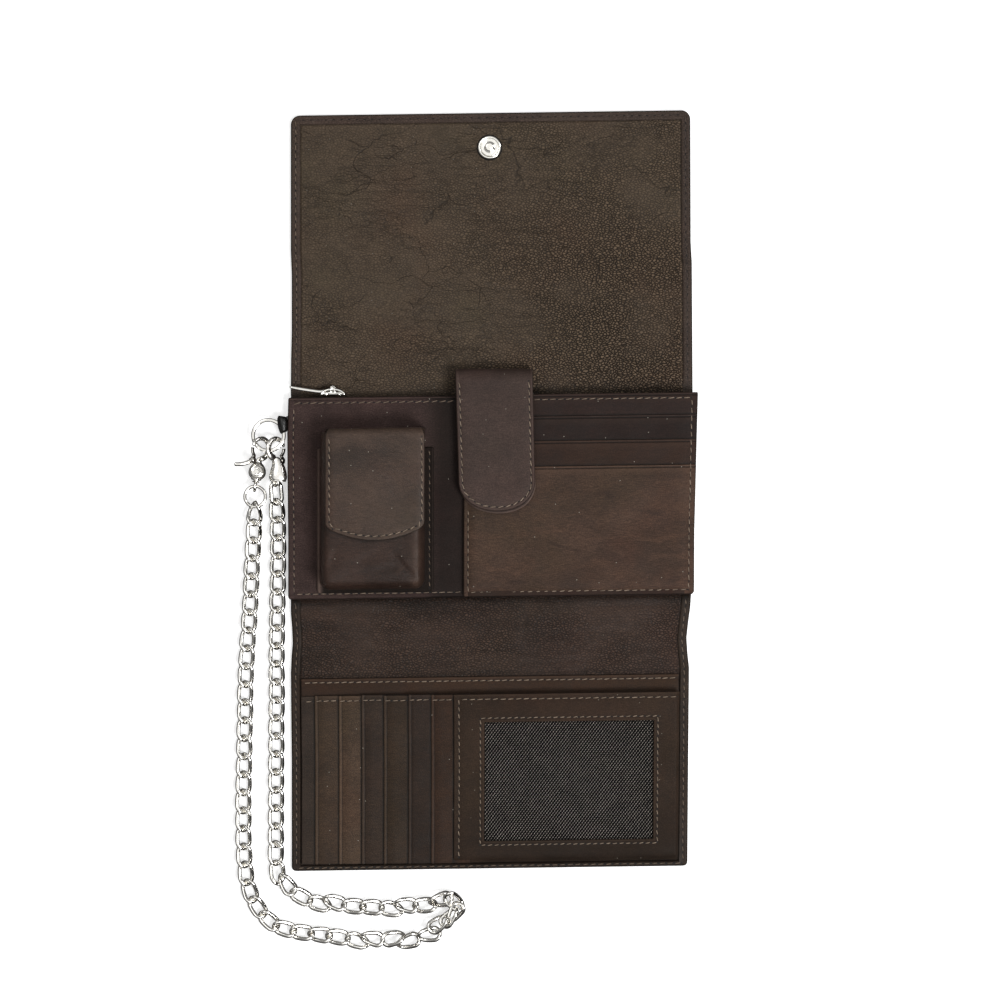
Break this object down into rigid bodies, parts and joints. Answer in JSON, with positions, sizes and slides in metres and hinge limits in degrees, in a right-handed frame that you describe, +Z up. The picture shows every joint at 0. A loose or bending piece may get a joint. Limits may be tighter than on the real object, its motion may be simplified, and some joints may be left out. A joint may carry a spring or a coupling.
{
  "type": "chain wallet",
  "caption": "Tri-fold leather chain wallet laid open, with snap flap, zip compartment, lighter pouch, closure tab, card slots, mesh window and curb chain.",
  "frame": {"origin": "centre of the middle panel on the wallet's under face, which lies on the table at z = 0", "axes": "+X to the wallet's right, +Y towards the top flap, +Z up out of the open inside face"},
  "size_m": [0.1978, 0.3585, 0.0228],
  "materials": {
    "cover_leather": "pebbled dark brown leather, satin",
    "lining_leather": "fine pebbled olive brown leather, satin",
    "panel_leather": "smooth dark brown leather, matt",
    "pocket_leather": "mottled brown leather, satin",
    "strip_leather": "thin brown leather, matt",
    "pouch_leather": "smooth brown leather, soft shine",
    "tab_leather": "smooth brown leather, soft shine",
    "mesh_fabric": "black woven nylon mesh",
    "zip_tape": "black woven tape",
    "loop_black": "black coated leather",
    "chrome": "bright nickel plating",
    "hidden_steel": "plain steel"
  },
  "bodies": {
    "middle": {"cover_middle": "cover_leather", "compartment_back": "panel_leather", "compartment_front": "panel_leather", "zipper_tape_back": "zip_tape", "zipper_tape_front": "zip_tape", "zipper_teeth": "chrome", "card_slot_1": "panel_leather", "card_slot_2": "panel_leather", "card_slot_3": "panel_leather", "card_pocket_large": "pocket_leather", "pouch_flange": "pouch_leather", "pouch_body": "pouch_leather", "tab_anchor": "tab_leather", "tab_keeper": "hidden_steel", "chain_anchor_loop": "loop_black"},
    "upper_spine_1": {"cover_upper_spine_a": "cover_leather"},
    "upper_spine_2": {"cover_upper_spine_b": "cover_leather"},
    "top_flap": {"cover_flap": "cover_leather", "flap_hem": "cover_leather", "flap_lining": "lining_leather", "snap_stud": "chrome"},
    "lower_spine_1": {"cover_lower_spine_a": "cover_leather"},
    "lower_spine_2": {"cover_lower_spine_b": "cover_leather"},
    "bottom_panel": {"cover_bottom": "cover_leather", "bottom_hem": "cover_leather", "bill_divider": "strip_leather", "card_strip_base": "strip_leather", "card_strip_1": "strip_leather", "card_strip_2": "strip_leather", "card_strip_3": "strip_leather", "card_strip_4": "strip_leather", "card_strip_5": "strip_leather", "card_strip_6": "strip_leather", "id_frame": "strip_leather", "id_mesh": "mesh_fabric", "snap_socket": "chrome"},
    "tab_end": {"tab_outer_ply": "tab_leather", "tab_inner_ply": "tab_leather", "tab_magnet": "hidden_steel"},
    "pouch_lid": {"pouch_flap": "pouch_leather"},
    "slider": {"zipper_slider": "chrome"},
    "puller": {"zipper_puller": "chrome"},
    "ring": {"chain_ring": "chrome"},
    "clasp_a": {"clasp_a_body": "chrome"},
    "trigger_a": {"clasp_a_trigger": "chrome"},
    "swivel_a": {"clasp_a_swivel": "chrome"},
    "link_ring": {"small_ring": "chrome"},
    "clasp_b": {"clasp_b_body": "chrome"},
    "gate_b": {"clasp_b_gate": "chrome"},
    "strand_left_1": {"chain_left_1": "chrome"},
    "strand_left_2": {"chain_left_2": "chrome"},
    "strand_left_3": {"chain_left_3": "chrome"},
    "strand_left_4": {"chain_left_4": "chrome"},
    "strand_left_5": {"chain_left_5": "chrome"},
    "strand_left_6": {"chain_left_6": "chrome"},
    "strand_right_1": {"chain_right_1": "chrome"},
    "strand_right_2": {"chain_right_2": "chrome"},
    "strand_right_3": {"chain_right_3": "chrome"},
    "strand_right_4": {"chain_right_4": "chrome"},
    "strand_right_5": {"chain_right_5": "chrome"}
  },
  "joints": [
    {"name": "bottom_panel_fold", "type": "hinge", "parent": "middle", "child": "lower_spine_1", "pos_m": [0, -0.0439, 0.00065], "axis": [-1, 0, 0], "range_deg": [0, 60]},
    {"name": "lower_spine_bend", "type": "hinge", "parent": "lower_spine_1", "child": "lower_spine_2", "pos_m": [0, -0.0604, 0.00065], "axis": [-1, 0, 0], "range_deg": [0, 60]},
    {"name": "lower_spine_turn", "type": "hinge", "parent": "lower_spine_2", "child": "bottom_panel", "pos_m": [0, -0.0769, 0.00065], "axis": [-1, 0, 0], "range_deg": [0, 60]},
    {"name": "cover_flap_fold", "type": "hinge", "parent": "middle", "child": "upper_spine_1", "pos_m": [0, 0.054, 0.00065], "axis": [1, 0, 0], "range_deg": [0, 60]},
    {"name": "upper_spine_bend", "type": "hinge", "parent": "upper_spine_1", "child": "upper_spine_2", "pos_m": [0, 0.0726, 0.00065], "axis": [1, 0, 0], "range_deg": [0, 60]},
    {"name": "upper_spine_turn", "type": "hinge", "parent": "upper_spine_2", "child": "top_flap", "pos_m": [0, 0.0912, 0.00065], "axis": [1, 0, 0], "range_deg": [0, 60]},
    {"name": "closure_tab_lift", "type": "hinge", "parent": "middle", "child": "tab_end", "pos_m": [0, 0.04445, 0.0116], "axis": [1, 0, 0], "range_deg": [-150, 0]},
    {"name": "lighter_flap_lift", "type": "hinge", "parent": "middle", "child": "pouch_lid", "pos_m": [-0.0506, 0.0284, 0.007], "axis": [1, 0, 0], "range_deg": [-90, 0]},
    {"name": "slider_travel", "type": "slide", "parent": "middle", "child": "slider", "axis": [1, 0, 0], "range_m": [-0.008, 0.14]},
    {"name": "puller_swing", "type": "hinge", "parent": "slider", "child": "puller", "pos_m": [-0.0678, 0.0461, 0.0045], "axis": [0, 0, 1], "range_deg": [-160, 6]},
    {"name": "ring_swing", "type": "hinge", "parent": "middle", "child": "ring", "pos_m": [-0.09116, 0.03106, 0.0043], "axis": [-0.766, 0.6428, 0], "range_deg": [-40, 40]},
    {"name": "swivel_clasp_swing", "type": "hinge", "parent": "ring", "child": "clasp_a", "pos_m": [-0.0987, 0.02028, 0.0043], "axis": [0.866, -0.5, 0], "range_deg": [-20, 20]},
    {"name": "trigger_press", "type": "hinge", "parent": "clasp_a", "child": "trigger_a", "pos_m": [-0.10192, 0.01541, 0.00651], "axis": [0.6617, -0.0997, 0.7431], "range_deg": [-22, 0]},
    {"name": "swivel_spin", "type": "hinge", "parent": "clasp_a", "child": "swivel_a", "pos_m": [-0.10113, 0.00417, 0.0043], "axis": [-0.149, -0.9888, 0], "continuous": true},
    {"name": "small_ring_swing", "type": "hinge", "parent": "swivel_a", "child": "link_ring", "pos_m": [-0.10113, 0.00417, 0.0043], "axis": [1, 0, 0], "range_deg": [-25, 25]},
    {"name": "spring_clasp_swing", "type": "hinge", "parent": "ring", "child": "clasp_b", "pos_m": [-0.0921, 0.02028, 0.0043], "axis": [0.866, 0.5, 0], "range_deg": [-14, 14]},
    {"name": "spring_gate_press", "type": "hinge", "parent": "clasp_b", "child": "gate_b", "pos_m": [-0.08975, 0.01514, 0.00209], "axis": [0.669, -0.0134, 0.7431], "range_deg": [0, 22]},
    {"name": "strand_left_bend_1", "type": "hinge", "parent": "link_ring", "child": "strand_left_1", "pos_m": [-0.10113, -0.00368, 0.0043], "axis": [-0.9987, 0.0516, 0], "range_deg": [-22, 22]},
    {"name": "strand_left_bend_2", "type": "hinge", "parent": "strand_left_1", "child": "strand_left_2", "pos_m": [-0.10357, -0.04992, 0.0019], "axis": [0.9981, -0.0621, 0], "range_deg": [-22, 22]},
    {"name": "strand_left_bend_3", "type": "hinge", "parent": "strand_left_2", "child": "strand_left_3", "pos_m": [-0.10573, -0.0963, 0.0019], "axis": [-0.9998, 0.0207, 0], "range_deg": [-22, 22]},
    {"name": "strand_left_bend_4", "type": "hinge", "parent": "strand_left_3", "child": "strand_left_4", "pos_m": [-0.1062, -0.14274, 0.0019], "axis": [0.9997, 0.0243, 0], "range_deg": [-22, 22]},
    {"name": "strand_left_bend_5", "type": "hinge", "parent": "strand_left_4", "child": "strand_left_5", "pos_m": [-0.09239, -0.18488, 0.0019], "axis": [-0.363, -0.9318, 0], "range_deg": [-22, 22]},
    {"name": "strand_left_bend_6", "type": "hinge", "parent": "strand_left_5", "child": "strand_left_6", "pos_m": [-0.04644, -0.19081, 0.0019], "axis": [-0.0339, 0.9994, 0], "range_deg": [-22, 22]},
    {"name": "strand_right_bend_1", "type": "hinge", "parent": "clasp_b", "child": "strand_right_1", "pos_m": [-0.0924, 0.00517, 0.0043], "axis": [0.9985, 0.0552, 0], "range_deg": [-22, 22]},
    {"name": "strand_right_bend_2", "type": "hinge", "parent": "strand_right_1", "child": "strand_right_2", "pos_m": [-0.09164, -0.04112, 0.00188], "axis": [-0.9999, 0.0161, 0], "range_deg": [-22, 22]},
    {"name": "strand_right_bend_3", "type": "hinge", "parent": "strand_right_2", "child": "strand_right_3", "pos_m": [-0.09204, -0.08755, 0.0019], "axis": [1, -0.0063, 0], "range_deg": [-22, 22]},
    {"name": "strand_right_bend_4", "type": "hinge", "parent": "strand_right_3", "child": "strand_right_4", "pos_m": [-0.09233, -0.13399, 0.0019], "axis": [-1, 0.0054, 0], "range_deg": [-22, 22]},
    {"name": "strand_right_bend_5", "type": "hinge", "parent": "strand_right_4", "child": "strand_right_5", "pos_m": [-0.0781, -0.17387, 0.0019], "axis": [0.2371, 0.9715, 0], "range_deg": [-22, 22]}
  ],
  "couplings": [
    {"joint": "lower_spine_bend", "follows": "bottom_panel_fold", "ratio": 1},
    {"joint": "lower_spine_turn", "follows": "bottom_panel_fold", "ratio": 1},
    {"joint": "upper_spine_bend", "follows": "cover_flap_fold", "ratio": 1},
    {"joint": "upper_spine_turn", "follows": "cover_flap_fold", "ratio": 1}
  ]
}
